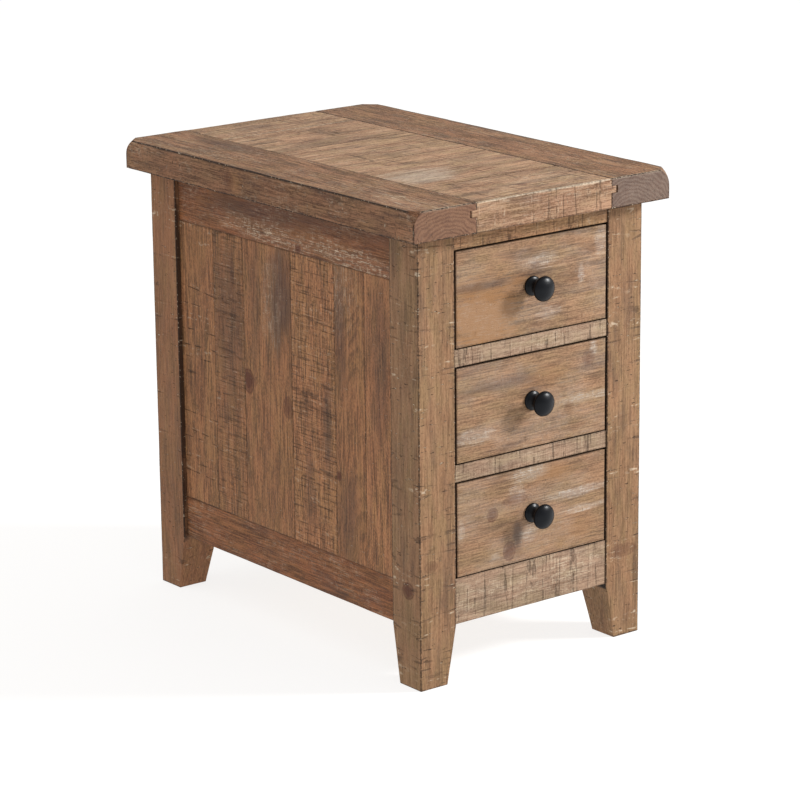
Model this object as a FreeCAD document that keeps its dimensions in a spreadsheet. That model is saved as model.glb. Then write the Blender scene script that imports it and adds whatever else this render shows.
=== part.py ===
import FreeCAD, Part
import Sketcher
import math
import os
import re

# A pine side table with three drawers. X runs across, -Y is the front and Z is up.
# The floor is Z = 0 and X = Y = 0 is the middle of the top. All sizes are in mm.

os.makedirs("parts", exist_ok=True)
doc = FreeCAD.newDocument("side_table")
sheet = doc.addObject("Spreadsheet::Sheet", "sizes")

SIZES = {
    # Whole table and its top
    "table_width": "406.4",
    "table_depth": "609.6",
    "table_height": "609.6",
    "top_thick": "38",
    "side_overhang": "24",
    "front_overhang": "24",
    "rear_overhang": "20",
    "top_joint": "107.5",
    "cross_seam_one": "-199",
    "cross_seam_two": "-25",
    "cross_seam_three": "96",
    "cross_seam_four": "217",
    "tongue_drop": "9.6",
    "tongue_height": "9",
    "tongue_reach": "8",
    "tongue_groove": "10",
    # Rounding worn on the four corners of the top
    "dub_radius": "26",
    "dub_height": "21",
    "dub_reach": "20",
    "dub_span": "40",
    # Posts
    "post_width": "56",
    "post_depth": "55",
    "foot_size": "42",
    "foot_height": "75",
    # Side walls: rails with planks between them
    "wall_recess": "6",
    "rail_thick": "22",
    "upper_rail_height": "62",
    "lower_rail_height": "56",
    "plank_thick": "16",
    "plank_tongue": "8",
    "plank_shoulder": "4",
    "groove_depth": "9",
    "plank_seam_one": "154",
    "plank_seam_two": "88",
    "plank_seam_three": "-15",
    "plank_seam_four": "-106",
    "plank_seam_five": "-167",
    # Mortise and tenon joints
    "tenon_length": "30",
    "mortise_depth": "31",
    "tenon_shoulder": "6",
    "tenon_inset": "8",
    "front_tenon_from": "15",
    "front_tenon_to": "41",
    "front_tenon_inset": "5",
    # Back
    "back_panel_thick": "12",
    # Front rails and the openings between them
    "front_setback": "1.5",
    "opening_bottom": "134",
    "opening_height": "123.4",
    "divider_height": "22",
    # Drawer runners, their stops and the cleats under the top
    "runner_inner": "104",
    "guide_inner": "121",
    "ledge_rise": "2",
    "guide_rise": "16",
    "lug_front": "221.5",
    "stop_front": "-147",
    "stop_rear": "-135",
    "stop_drop": "5.4",
    # Drawers
    "drawer_half": "120",
    "drawer_gap": "2",
    "drawer_setback": "0.5",
    "drawer_front_thick": "20",
    "drawer_side_thick": "12",
    "drawer_side_lift": "2.2",
    "drawer_side_top": "116",
    "drawer_rear": "221.3",
    "drawer_back_front": "205",
    "drawer_back_thick": "12",
    "drawer_back_top": "122.6",
    "drawer_dado": "5",
    "bottom_lift": "10",
    "bottom_thick": "6",
    "bottom_groove": "6",
    # Half-blind dovetails
    "tail_length": "13",
    "tail_root_half": "9",
    "tail_tip_half": "11.5",
    "tail_spacing": "36",
    "tail_middle": "59",
    # Knobs, distances measured out from the drawer front
    "knob_hole_radius": "2.1",
    "knob_hole_depth": "13",
    "flange_radius": "12.5",
    "flange_edge": "2",
    "flange_top_radius": "11.2",
    "flange_top": "3.2",
    "cove_radius": "6.5",
    "neck_radius": "6.3",
    "neck_from": "8.6",
    "neck_to": "11",
    "flare_radius": "12",
    "head_under_radius": "14.8",
    "head_under": "20",
    "head_edge_radius": "3.2",
    "head_top_radius": "15.3",
    "head_top": "24.6",
    "dome_radius": "26.2",
    "dome_flat": "1.5",
    "knob_reach": "29.5",
    # Screws
    "screw_radius": "2",
    "screw_hole_radius": "2.1",
    "screw_head_radius": "4",
    "screw_head_height": "3",
    "knob_screw_length": "34",
    "top_screw_length": "40",
    "top_screw_x": "132",
    "top_screw_step": "180",
    "bore_radius": "4.5",
    "bore_depth": "5",
}
for row, (alias, number) in enumerate(SIZES.items(), start=1):
    sheet.set(f"A{row}", alias)
    sheet.set(f"B{row}", number)
    sheet.setAlias(f"B{row}", alias)
doc.recompute()

# Faces that several pieces share, written with the sheet's names
OUT = "(table_width / 2 - side_overhang)"
IN = f"({OUT} - post_width)"
FRONT = "(front_overhang - table_depth / 2)"
FRONT_IN = f"({FRONT} + post_depth)"
REAR = "(table_depth / 2 - rear_overhang)"
REAR_IN = f"({REAR} - post_depth)"
UNDER_TOP = "(table_height - top_thick)"
WALL = f"({OUT} - wall_recess)"
WALL_IN = f"({WALL} - rail_thick)"
UPPER_RAIL = (f"({UNDER_TOP} - upper_rail_height)", UNDER_TOP)
LOWER_RAIL = ("foot_height", "(foot_height + lower_rail_height)")
TOP_TONGUE = ("(table_height - tongue_drop - tongue_height)", "(table_height - tongue_drop)")
DRAWER_FACE = f"({FRONT} + drawer_setback)"
DRAWER_INNER = f"({DRAWER_FACE} + drawer_front_thick)"
SIDE_INNER = "(drawer_half - drawer_side_thick)"

pieces = []


def formula(text):
    """Point every name in the text at the sheet."""
    return re.sub(r"[a-z]+(?:_[a-z]+)+", lambda word: "sizes." + word.group(), text)


def mirrored(pair, side):
    """The pair of faces as it is for side 1, or its mirror image for side -1."""
    return pair if side > 0 else (f"-({pair[1]})", f"-({pair[0]})")


def set_base(item, x, y, z):
    for axis, value in zip("xyz", (x, y, z)):
        item.setExpression(f".Placement.Base.{axis}", formula(value))


def block(name, x, y, z):
    """A box between a low and a high face in each direction."""
    item = doc.addObject("Part::Box", name)
    for size, pair in zip(("Length", "Width", "Height"), (x, y, z)):
        item.setExpression(size, formula(f"({pair[1]}) - ({pair[0]})"))
    set_base(item, x[0], y[0], z[0])
    return item


def rod(name, radius, length, x, y, z, direction):
    """A round bar or hole that starts at x, y, z."""
    item = doc.addObject("Part::Cylinder", name)
    item.setExpression("Radius", formula(radius))
    item.setExpression("Height", formula(length))
    turn = FreeCAD.Rotation(FreeCAD.Vector(0, 0, 1), FreeCAD.Vector(*direction))
    item.Placement = FreeCAD.Placement(FreeCAD.Vector(0, 0, 0), turn)
    set_base(item, x, y, z)
    return item


def set_wedge(item, **limits):
    for name, value in limits.items():
        item.setExpression(name, formula(value))


def joined(name, items):
    item = doc.addObject("Part::MultiFuse", name)
    item.Shapes = items
    item.Refine = True
    return item


def cut(name, base, tools):
    item = doc.addObject("Part::Cut", name)
    item.Base = base
    item.Tool = tools[0] if len(tools) == 1 else joined(name + "_waste", tools)
    return item


def keep(item):
    """Hand the finished piece in under its own name."""
    item.Label = item.Name
    pieces.append(item)
    return item


# ---- Front rails: where each one starts and ends in height ----


def level(count):
    """Bottom of one drawer opening, counted from the lowest."""
    return f"(opening_bottom + {count} * (opening_height + divider_height))"


FRONT_RAILS = {
    "front_bottom_rail": ("foot_height", "opening_bottom"),
    "divider_rail_lower": (f"({level(0)} + opening_height)", level(1)),
    "divider_rail_upper": (f"({level(1)} + opening_height)", level(2)),
    "front_top_rail": (f"({level(2)} + opening_height)", UNDER_TOP),
}


# ---- Tenons; a mortise is the same block made deeper ----


def side_tenon(name, side, y, z):
    x = mirrored((f"{WALL_IN} + tenon_shoulder", f"{WALL} - tenon_shoulder"), side)
    return block(name, x, y, (f"{z[0]} + tenon_inset", f"{z[1]} - tenon_inset"))


def front_tenon(name, x, z):
    y = (f"{FRONT} + front_tenon_from", f"{FRONT} + front_tenon_to")
    return block(name, x, y, (f"{z[0]} + front_tenon_inset", f"{z[1]} - front_tenon_inset"))


def back_tenon(name, x, z):
    rear = f"{REAR} - wall_recess"
    y = (f"{rear} - rail_thick + tenon_shoulder", f"{rear} - tenon_shoulder")
    return block(name, x, y, (f"{z[0]} + tenon_inset", f"{z[1]} - tenon_inset"))


def panel_range():
    """Front and rear face of the back panel, centred in the back rails."""
    middle = f"({REAR} - wall_recess - rail_thick / 2)"
    return (f"{middle} - back_panel_thick / 2", f"{middle} + back_panel_thick / 2")


# ---- Posts ----


def post(name, side, end):
    """A square post with a foot tapered on its two inner faces."""
    x = mirrored((IN, OUT), side)
    x_foot = mirrored((f"{OUT} - foot_size", OUT), side)
    y = (FRONT, FRONT_IN) if end == "front" else (REAR_IN, REAR)
    front_foot = (FRONT, f"{FRONT} + foot_size")
    y_foot = front_foot if end == "front" else (f"{REAR} - foot_size", REAR)
    shaft = block(name + "_shaft", x, y, ("foot_height", UNDER_TOP))
    foot = doc.addObject("Part::Wedge", name + "_foot")
    set_wedge(foot, Xmin=x_foot[0], Xmax=x_foot[1], X2min=x[0], X2max=x[1])
    set_wedge(foot, Zmin=f"-({y_foot[1]})", Zmax=f"-({y_foot[0]})")
    set_wedge(foot, Z2min=f"-({y[1]})", Z2max=f"-({y[0]})", Ymin="0", Ymax="foot_height")
    turn = FreeCAD.Rotation(FreeCAD.Vector(1, 0, 0), 90)
    foot.Placement = FreeCAD.Placement(FreeCAD.Vector(0, 0, 0), turn)
    whole = joined(name + "_whole", [shaft, foot])
    keep(cut(name, whole, mortises(name, side, end)))


def mortises(name, side, end):
    across = mirrored((IN, f"{IN} + mortise_depth"), side)
    tools = []
    along = (f"{FRONT_IN} - mortise_depth", FRONT_IN)
    if end == "rear":
        along = (REAR_IN, f"{REAR_IN} + mortise_depth")
    for count, z in enumerate((UPPER_RAIL, LOWER_RAIL)):
        tools.append(side_tenon(f"{name}_wall_mortise_{count}", side, along, z))
    if end == "front":
        for rail, z in FRONT_RAILS.items():
            tools.append(front_tenon(f"{name}_{rail}_mortise", across, z))
        return tools
    for count, z in enumerate((UPPER_RAIL, LOWER_RAIL)):
        tools.append(back_tenon(f"{name}_back_mortise_{count}", across, z))
    slot_x = mirrored((IN, f"{IN} + groove_depth"), side)
    slot_z = (f"{LOWER_RAIL[1]} - groove_depth", f"{UPPER_RAIL[0]} + groove_depth")
    tools.append(block(name + "_panel_groove", slot_x, panel_range(), slot_z))
    return tools


for end in ("front", "rear"):
    post(f"post_{end}_left", -1, end)
    post(f"post_{end}_right", 1, end)


# ---- Side walls ----

PLANK_FACE = f"({WALL} - plank_thick)"
PLANK_TONGUE = (f"{PLANK_FACE} + plank_shoulder", f"{WALL} - plank_shoulder")
SEAMS = [REAR_IN]
for word in ("one", "two", "three", "four", "five"):
    SEAMS.append(f"plank_seam_{word}")
SEAMS.append(FRONT_IN)


def side_rail(name, side, z, groove_z):
    y = (FRONT_IN, REAR_IN)
    tenon_y = (f"{FRONT_IN} - tenon_length", f"{REAR_IN} + tenon_length")
    body = block(name + "_body", mirrored((WALL_IN, WALL), side), y, z)
    tenon = side_tenon(name + "_tenons", side, tenon_y, z)
    whole = joined(name + "_whole", [body, tenon])
    groove = block(name + "_groove", mirrored(PLANK_TONGUE, side), y, groove_z)
    keep(cut(name, whole, [groove]))


def side_plank(name, side, y):
    z = (LOWER_RAIL[1], UPPER_RAIL[0])
    z_tongue = (f"{z[0]} - plank_tongue", f"{z[1]} + plank_tongue")
    body = block(name + "_body", mirrored((PLANK_FACE, WALL), side), y, z)
    tongue = block(name + "_tongues", mirrored(PLANK_TONGUE, side), y, z_tongue)
    keep(joined(name, [body, tongue]))


for word, side in (("left", -1), ("right", 1)):
    upper_groove = (UPPER_RAIL[0], f"{UPPER_RAIL[0]} + groove_depth")
    lower_groove = (f"{LOWER_RAIL[1]} - groove_depth", LOWER_RAIL[1])
    side_rail(f"side_top_rail_{word}", side, UPPER_RAIL, upper_groove)
    side_rail(f"side_bottom_rail_{word}", side, LOWER_RAIL, lower_groove)
    for count in range(6):
        side_plank(f"side_plank_{word}_{count + 1}", side, (SEAMS[count + 1], SEAMS[count]))


# ---- Back ----


def back_rail(name, z, groove_z):
    rear = f"{REAR} - wall_recess"
    body = block(name + "_body", (f"-{IN}", IN), (f"{rear} - rail_thick", rear), z)
    tenon_x = (f"-({IN} + tenon_length)", f"{IN} + tenon_length")
    whole = joined(name + "_whole", [body, back_tenon(name + "_tenons", tenon_x, z)])
    groove = block(name + "_groove", (f"-{IN}", IN), panel_range(), groove_z)
    keep(cut(name, whole, [groove]))


back_rail("back_top_rail", UPPER_RAIL, (UPPER_RAIL[0], f"{UPPER_RAIL[0]} + groove_depth"))
back_rail("back_bottom_rail", LOWER_RAIL, (f"{LOWER_RAIL[1]} - groove_depth", LOWER_RAIL[1]))
panel_x = (f"-({IN} + plank_tongue)", f"{IN} + plank_tongue")
panel_z = (f"{LOWER_RAIL[1]} - plank_tongue", f"{UPPER_RAIL[0]} + plank_tongue")
keep(block("back_panel", panel_x, panel_range(), panel_z))


# ---- Front rails ----

for name, z in FRONT_RAILS.items():
    body = block(name + "_body", (f"-{IN}", IN), (f"{FRONT} + front_setback", FRONT_IN), z)
    tenon_x = (f"-({IN} + tenon_length)", f"{IN} + tenon_length")
    keep(joined(name, [body, front_tenon(name + "_tenons", tenon_x, z)]))


# ---- Runners that carry the drawers, and the stops that catch the drawer backs ----


def runner(name, side, count):
    """A board with a stopped rebate: ledge below, guide beside, lug at the rear."""
    base = level(count)
    z = (f"{base} - divider_height", f"{base} + guide_rise")
    body = block(name + "_body", mirrored(("runner_inner", WALL_IN), side), (FRONT_IN, REAR_IN), z)
    x = mirrored(("runner_inner", "guide_inner"), side)
    waste = block(name + "_rebate", x, (FRONT_IN, "lug_front"), (f"{base} + ledge_rise", z[1]))
    return cut(name, body, [waste])


def stop_block(name, side, count):
    ceiling = f"({level(count)} + opening_height)"
    x = mirrored(("runner_inner", "guide_inner"), side)
    return block(name, x, ("stop_front", "stop_rear"), (f"{ceiling} - stop_drop", ceiling))


runners = []
stops = []
for word, side in (("left", -1), ("right", 1)):
    for count in range(3):
        runners.append(runner(f"runner_{word}_{count}", side, count))
        stops.append(stop_block(f"stop_{word}_{count}", side, count))
keep(joined("drawer_runners", runners))
keep(joined("drawer_stop_blocks", stops))


# ---- Cleats under the top, and the screws that hold it ----

CLEAT_BOTTOM = FRONT_RAILS["front_top_rail"][0]
cleats = []
cleat_bores = []
top_screws = []
top_holes = {-1: [], 1: []}


def top_screw(side, step):
    """One screw with its hole in the cleat and its hole in the top."""
    name = f"top_fixing_{'left' if side < 0 else 'right'}_{step + 1}"
    spot = (f"{side} * top_screw_x", f"{step} * top_screw_step")
    seat = f"{CLEAT_BOTTOM} + bore_depth"
    up = (0, 0, 1)
    head = rod(name + "_head", "screw_head_radius", "screw_head_height", *spot,
               f"{seat} - screw_head_height", up)
    shank = rod(name + "_shank", "screw_radius", "top_screw_length", *spot, seat, up)
    top_screws.append(joined(name, [head, shank]))
    through = "top_screw_length + 1"
    cleat_bores.append(rod(name + "_bore", "bore_radius", "bore_depth", *spot, CLEAT_BOTTOM, up))
    cleat_bores.append(rod(name + "_clear", "screw_hole_radius", through, *spot, seat, up))
    top_holes[side].append(rod(name + "_pilot", "screw_hole_radius", through, *spot, seat, up))


for word, side in (("left", -1), ("right", 1)):
    x = mirrored(("runner_inner", WALL_IN), side)
    cleats.append(block(f"cleat_{word}", x, (FRONT_IN, REAR_IN), (CLEAT_BOTTOM, UNDER_TOP)))
    for step in (-1, 0, 1):
        top_screw(side, step)
keep(cut("top_cleats", joined("cleat_pair", cleats), cleat_bores))
keep(joined("top_screws", top_screws))


# ---- Top: a long board down each side and cross boards tongued between them ----


def corner_waste(name, side, end):
    """What is taken off one corner: a box less the horizontal round that stays."""

    def place(item, reach):
        x = f"{side} * (table_width / 2 - {reach} / sqrt(2)) + {end} * dub_span / sqrt(2)"
        y = f"{end} * (table_depth / 2 - {reach} / sqrt(2)) - {side} * dub_span / sqrt(2)"
        set_base(item, x, y, "table_height - dub_height")

    box = doc.addObject("Part::Box", name + "_box")
    box.setExpression("Length", formula("dub_reach * 2"))
    box.setExpression("Width", formula("dub_span * 2"))
    box.setExpression("Height", formula("dub_height + 2"))
    turn = math.degrees(math.atan2(end, side))
    box.Placement = FreeCAD.Placement(FreeCAD.Vector(), FreeCAD.Vector(0, 0, 1), turn)
    place(box, "dub_reach")
    along = (-end, side, 0)
    kept = rod(name + "_round", "dub_radius", "dub_span * 2", "0", "0", "0", along)
    place(kept, "dub_radius")
    return cut(name, box, [kept])


for word, side in (("left", -1), ("right", 1)):
    name = f"top_side_board_{word}"
    y = ("-table_depth / 2", "table_depth / 2")
    z = (UNDER_TOP, "table_height")
    board = block(name + "_board", mirrored(("top_joint", "table_width / 2"), side), y, z)
    groove_x = mirrored(("top_joint", "top_joint + tongue_groove"), side)
    tools = [block(name + "_groove", groove_x, y, TOP_TONGUE)]
    tools.append(corner_waste(name + "_front_corner", side, -1))
    tools.append(corner_waste(name + "_rear_corner", side, 1))
    keep(cut(name, board, tools + top_holes[side]))

edges = ["-table_depth / 2"]
for word in ("one", "two", "three", "four"):
    edges.append(f"cross_seam_{word}")
edges.append("table_depth / 2")
for count in range(5):
    name = f"top_cross_board_{count + 1}"
    y = (edges[count], edges[count + 1])
    board = block(name + "_board", ("-top_joint", "top_joint"), y, (UNDER_TOP, "table_height"))
    tongue_x = ("-(top_joint + tongue_reach)", "top_joint + tongue_reach")
    keep(joined(name, [board, block(name + "_tongues", tongue_x, y, TOP_TONGUE)]))


# ---- Drawers ----


def dovetails(name, side, base):
    """Three tails on one end of a drawer side; the front is cut with the same shapes."""
    tails = []
    x = mirrored((SIDE_INNER, "drawer_half"), side)
    for step in (-1, 0, 1):
        tail = doc.addObject("Part::Wedge", f"{name}_tail_{step + 2}")
        middle = f"({base} + tail_middle + {step} * tail_spacing)"
        set_wedge(tail, Xmin=x[0], Xmax=x[1], X2min=x[0], X2max=x[1])
        set_wedge(tail, Ymin=f"{DRAWER_INNER} - tail_length", Ymax=DRAWER_INNER)
        set_wedge(tail, Zmin=f"{middle} - tail_tip_half", Zmax=f"{middle} + tail_tip_half")
        set_wedge(tail, Z2min=f"{middle} - tail_root_half", Z2max=f"{middle} + tail_root_half")
        tails.append(tail)
    return tails


def drawer_front(name, base, middle):
    z = (f"{base} + drawer_gap", f"{base} + opening_height - drawer_gap")
    board = block(name + "_board", ("-drawer_half", "drawer_half"), (DRAWER_FACE, DRAWER_INNER), z)
    groove_y = (f"{DRAWER_INNER} - bottom_groove", DRAWER_INNER)
    groove_z = (f"{base} + bottom_lift", f"{base} + bottom_lift + bottom_thick")
    tools = [block(name + "_groove", (f"-{SIDE_INNER}", SIDE_INNER), groove_y, groove_z)]
    tools += dovetails(name + "_left", -1, base) + dovetails(name + "_right", 1, base)
    tools.append(rod(name + "_hole", "screw_hole_radius", "drawer_front_thick", "0",
                     DRAWER_INNER, middle, (0, -1, 0)))
    keep(cut(name, board, tools))


def drawer_side(name, side, base):
    z = (f"{base} + drawer_side_lift", f"{base} + drawer_side_top")
    x = mirrored((SIDE_INNER, "drawer_half"), side)
    board = block(name + "_board", x, (DRAWER_INNER, "drawer_rear"), z)
    whole = joined(name + "_whole", [board] + dovetails(name, side, base))
    floor_z = (f"{base} + bottom_lift", f"{base} + bottom_lift + bottom_thick")
    groove_x = mirrored((SIDE_INNER, f"{SIDE_INNER} + bottom_groove"), side)
    dado_x = mirrored((SIDE_INNER, f"{SIDE_INNER} + drawer_dado"), side)
    dado_y = ("drawer_back_front", "drawer_back_front + drawer_back_thick")
    tools = [block(name + "_groove", groove_x, (DRAWER_INNER, "drawer_rear"), floor_z)]
    tools.append(block(name + "_dado", dado_x, dado_y, (floor_z[1], z[1])))
    keep(cut(name, whole, tools))


def drawer_back(name, base):
    reach = f"({SIDE_INNER} + drawer_dado)"
    y = ("drawer_back_front", "drawer_back_front + drawer_back_thick")
    z = (f"{base} + bottom_lift + bottom_thick", f"{base} + drawer_back_top")
    keep(block(name, (f"-{reach}", reach), y, z))


def drawer_panel(name, base):
    z = (f"{base} + bottom_lift", f"{base} + bottom_lift + bottom_thick")
    reach = f"({SIDE_INNER} + bottom_groove)"
    rear = "drawer_back_front + drawer_back_thick"
    sheet_board = block(name + "_sheet", (f"-{reach}", reach), (DRAWER_INNER, rear), z)
    lip_y = (f"{DRAWER_INNER} - bottom_groove", DRAWER_INNER)
    lip = block(name + "_lip", (f"-{SIDE_INNER}", SIDE_INNER), lip_y, z)
    keep(joined(name, [sheet_board, lip]))


# ---- Turned pieces: a profile spun about the body's own Y axis ----


def number(alias):
    return float(SIZES[alias]) if alias in SIZES else float(alias)


def arc_through(start, end, radius, bulge):
    """The short arc from start to end; bulge 1 or -1 says on which side it swells."""
    chord = end - start
    sag = radius - math.sqrt(radius**2 - chord.Length**2 / 4)
    outward = FreeCAD.Vector(chord.y, -chord.x, 0).normalize()
    return Part.Arc(start, (start + end) * 0.5 + outward * (sag * bulge), end)


def profile(body, name, points):
    """A closed outline; each point is radius, distance, and the arc that leaves it."""
    sketch = body.newObject("Sketcher::SketchObject", name)
    plane = next(f for f in body.Origin.OriginFeatures if f.Role == "XY_Plane")
    sketch.AttachmentSupport = [(plane, "")]
    sketch.MapMode = "FlatFace"
    spots = [FreeCAD.Vector(number(p[0]), number(p[1]), 0) for p in points]
    ends = []
    for index, point in enumerate(points):
        start, end = spots[index], spots[(index + 1) % len(spots)]
        if len(point) == 2:
            shape = Part.LineSegment(start, end)
        else:
            shape = arc_through(start, end, number(point[2]), point[3])
        edge = sketch.addGeometry(shape)
        forward = (sketch.getPoint(edge, 1) - start).Length < 1e-6
        ends.append((1, 2) if forward else (2, 1))
        if len(point) > 2:
            bind(sketch, Sketcher.Constraint("Radius", edge, number(point[2])), point[2])
    for index, point in enumerate(points):
        following = (index + 1) % len(points)
        joint = (index, ends[index][1], following, ends[following][0])
        sketch.addConstraint(Sketcher.Constraint("Coincident", *joint))
        pin(sketch, index, ends[index][0], point)
    return sketch


def pin(sketch, edge, end, point):
    """Hold one corner of the outline at its radius and distance."""
    if point[0] == "0":
        sketch.addConstraint(Sketcher.Constraint("PointOnObject", edge, end, -2))
    else:
        across = Sketcher.Constraint("DistanceX", -1, 1, edge, end, number(point[0]))
        bind(sketch, across, point[0])
    if point[1] == "0":
        sketch.addConstraint(Sketcher.Constraint("PointOnObject", edge, end, -1))
    else:
        along = Sketcher.Constraint("DistanceY", -1, 1, edge, end, number(point[1]))
        bind(sketch, along, point[1])


def bind(sketch, constraint, alias):
    index = sketch.addConstraint(constraint)
    sketch.setExpression(f"Constraints[{index}]", formula(alias))


def turned(name, points, x, y, z):
    """A turned piece that points to the front, its base at x, y, z."""
    body = doc.addObject("PartDesign::Body", name)
    sketch = profile(body, name + "_outline", points)
    spin = body.newObject("PartDesign::Revolution", name + "_spin")
    spin.Profile = sketch
    spin.ReferenceAxis = (sketch, ["V_Axis"])
    spin.Angle = 360
    sketch.Visibility = False
    body.Placement = FreeCAD.Placement(FreeCAD.Vector(), FreeCAD.Vector(0, 0, 1), 180)
    set_base(body, x, y, z)
    keep(body)


KNOB = [
    ("0", "knob_hole_depth"),
    ("knob_hole_radius", "knob_hole_depth"),
    ("knob_hole_radius", "0"),
    ("flange_radius", "0"),
    ("flange_radius", "flange_edge"),
    ("flange_top_radius", "flange_top", "cove_radius", -1),
    ("neck_radius", "neck_from"),
    ("neck_radius", "neck_to", "flare_radius", -1),
    ("head_under_radius", "head_under", "head_edge_radius", 1),
    ("head_top_radius", "head_top", "dome_radius", 1),
    ("dome_flat", "knob_reach"),
    ("0", "knob_reach"),
]
KNOB_SCREW = [
    ("0", "0"),
    ("screw_head_radius", "0"),
    ("screw_head_radius", "screw_head_height"),
    ("screw_radius", "screw_head_height"),
    ("screw_radius", "knob_screw_length"),
    ("0", "knob_screw_length"),
]

for count, word in enumerate(("bottom", "middle", "top")):
    base = level(count)
    middle = f"{base} + opening_height / 2"
    name = f"drawer_{word}"
    drawer_front(name + "_front", base, middle)
    drawer_side(name + "_side_left", -1, base)
    drawer_side(name + "_side_right", 1, base)
    drawer_back(name + "_back", base)
    drawer_panel(name + "_panel", base)
    turned(name + "_knob", KNOB, "0", DRAWER_FACE, middle)
    head_y = f"{DRAWER_INNER} + screw_head_height"
    turned(name + "_knob_screw", KNOB_SCREW, "0", head_y, middle)


# ---- Check every object and write one file for each piece ----

doc.recompute()
for item in doc.Objects:
    if "Invalid" in item.State or "Error" in item.State:
        raise RuntimeError(f"{item.Label} did not build")
for piece in pieces:
    if piece.Shape.isNull() or not piece.Shape.isValid():
        raise RuntimeError(f"{piece.Label} has no valid shape")
    piece.Shape.exportStep(f"parts/{piece.Label}.step")
    box = piece.Shape.BoundBox
    print(f"{piece.Label}: {box.XLength:.1f} x {box.YLength:.1f} x {box.ZLength:.1f}")
print(len(pieces), "pieces")
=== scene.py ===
import math

import bmesh
import bpy
from mathutils import Matrix, Vector, noise


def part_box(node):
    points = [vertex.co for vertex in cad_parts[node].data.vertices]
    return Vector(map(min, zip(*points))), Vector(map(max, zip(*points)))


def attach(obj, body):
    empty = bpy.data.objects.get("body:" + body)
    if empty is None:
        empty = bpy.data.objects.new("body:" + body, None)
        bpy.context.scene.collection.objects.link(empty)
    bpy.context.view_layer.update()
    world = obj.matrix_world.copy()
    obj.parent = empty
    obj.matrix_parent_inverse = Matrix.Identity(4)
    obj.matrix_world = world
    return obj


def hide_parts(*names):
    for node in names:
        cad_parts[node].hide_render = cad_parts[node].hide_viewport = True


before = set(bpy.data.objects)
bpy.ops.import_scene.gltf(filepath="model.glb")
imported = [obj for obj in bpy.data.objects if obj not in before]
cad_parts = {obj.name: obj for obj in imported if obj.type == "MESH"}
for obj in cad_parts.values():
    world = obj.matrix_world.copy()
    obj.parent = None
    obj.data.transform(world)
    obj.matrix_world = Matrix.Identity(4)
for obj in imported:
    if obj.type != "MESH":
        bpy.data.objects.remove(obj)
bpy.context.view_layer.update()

# ---- Floor, light and camera ----
# The table stands on a plain white floor under soft studio light. The key light is
# high on the right of the drawers, so the left side wall is in the shade.

WHITE = (1.0, 1.0, 1.0, 1.0)
STUDIO_GLOW = (0.70, 0.672, 0.64, 1.0)

scene = bpy.context.scene
scene.view_settings.view_transform = "Standard"

# The studio lights the table with a warm glow, and looks white behind it
world = bpy.data.worlds.new("studio")
world.use_nodes = True
studio_nodes = world.node_tree.nodes
studio_links = world.node_tree.links
glow = studio_nodes["Background"]
glow.inputs["Color"].default_value = STUDIO_GLOW
backdrop = studio_nodes.new("ShaderNodeBackground")
backdrop.inputs["Color"].default_value = WHITE
seen = studio_nodes.new("ShaderNodeLightPath")
either = studio_nodes.new("ShaderNodeMixShader")
studio_links.new(seen.outputs["Is Camera Ray"], either.inputs[0])
studio_links.new(glow.outputs["Background"], either.inputs[1])
studio_links.new(backdrop.outputs["Background"], either.inputs[2])
studio_links.new(either.outputs["Shader"], studio_nodes["World Output"].inputs["Surface"])
scene.world = world


def placed(shape, name, material):
    """An object made from a bmesh. It stays at the origin, with its place in its mesh."""
    mesh = bpy.data.meshes.new(name)
    shape.to_mesh(mesh)
    shape.free()
    mesh.materials.append(material)
    piece = bpy.data.objects.new(name, mesh)
    scene.collection.objects.link(piece)
    return piece


floor_paint = bpy.data.materials.new("floor_white")
floor_paint.use_nodes = True
floor_shader = floor_paint.node_tree.nodes["Principled BSDF"]
floor_shader.inputs["Base Color"].default_value = (0.3, 0.3, 0.3, 1.0)
floor_shader.inputs["Roughness"].default_value = 0.9
floor_shader.inputs["Specular IOR Level"].default_value = 0.0
floor_shader.inputs["Emission Color"].default_value = WHITE
floor_shader.inputs["Emission Strength"].default_value = 0.8
floor_shape = bmesh.new()
bmesh.ops.create_grid(floor_shape, x_segments=1, y_segments=1, size=30.0)
floor = placed(floor_shape, "floor", floor_paint)

key_place = Vector((2.4, -2.0, 1.9))
key_aim = Vector((0.0, -0.2, 0.3))
key_light = bpy.data.lights.new("key_light", "AREA")
key_light.size = 0.6
key_light.energy = 128.0
key_stand = bpy.data.objects.new("key_light", key_light)
key_stand.location = key_place
key_stand.rotation_euler = (key_aim - key_place).to_track_quat("-Z", "Y").to_euler()
scene.collection.objects.link(key_stand)

# The camera looks at target, from the left of the drawers and a little above
azimuth, elevation, roll = math.radians(-37.93), math.radians(15.36), math.radians(-0.59)
distance = 4.31092
target = Vector((0.00896, -0.00302, 0.2814))
back = Vector((math.sin(azimuth) * math.cos(elevation),
               -math.cos(azimuth) * math.cos(elevation),
               math.sin(elevation)))
level_right = Vector((math.cos(azimuth), math.sin(azimuth), 0.0))
level_up = back.cross(level_right)
right = level_right * math.cos(roll) + level_up * math.sin(roll)
up = back.cross(right)
camera_data = bpy.data.cameras.new("camera")
camera_data.lens = 148.49
camera_data.sensor_width = 36.0
camera = bpy.data.objects.new("camera", camera_data)
turn = Matrix((right, up, back)).transposed().to_4x4()
camera.matrix_world = Matrix.Translation(target + back * distance) @ turn
scene.collection.objects.link(camera)
scene.camera = camera

# ---- Posts ----
# Four square pine posts run from the floor to the top. They are sawn, lightly planed
# and waxed brown, and the two inner faces of each foot are tapered.


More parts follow.
